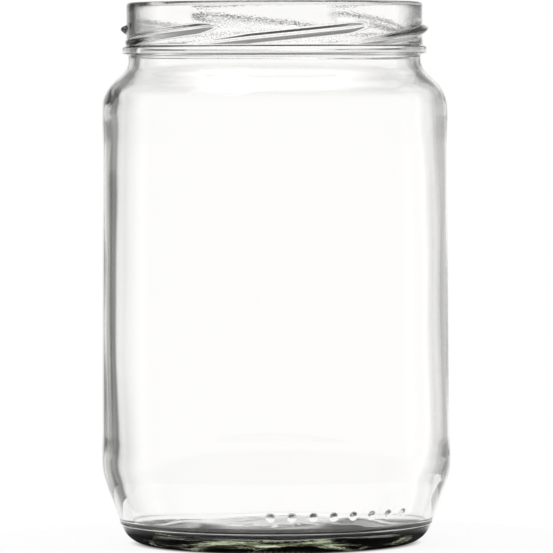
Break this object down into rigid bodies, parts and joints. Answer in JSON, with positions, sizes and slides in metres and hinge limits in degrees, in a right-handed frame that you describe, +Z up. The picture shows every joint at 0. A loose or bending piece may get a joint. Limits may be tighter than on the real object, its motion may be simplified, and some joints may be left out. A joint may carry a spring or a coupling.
{
  "type": "twist-off glass jar",
  "caption": "Clear glass jar with a wide round mouth for a lug cap, rounded shoulders, straight walls and a tapered heel, for keeping food.",
  "frame": {"origin": "centre of the bearing ring, on the plane that the jar stands on", "axes": "+Z up along the jar's axis through the mouth, -Y towards the front"},
  "size_m": [0.0904, 0.0904, 0.14],
  "materials": {
    "glass": "polished clear soda-lime glass with a faint green tint"
  },
  "bodies": {
    "root": {"glass_jar": "glass"}
  },
  "joints": []
}
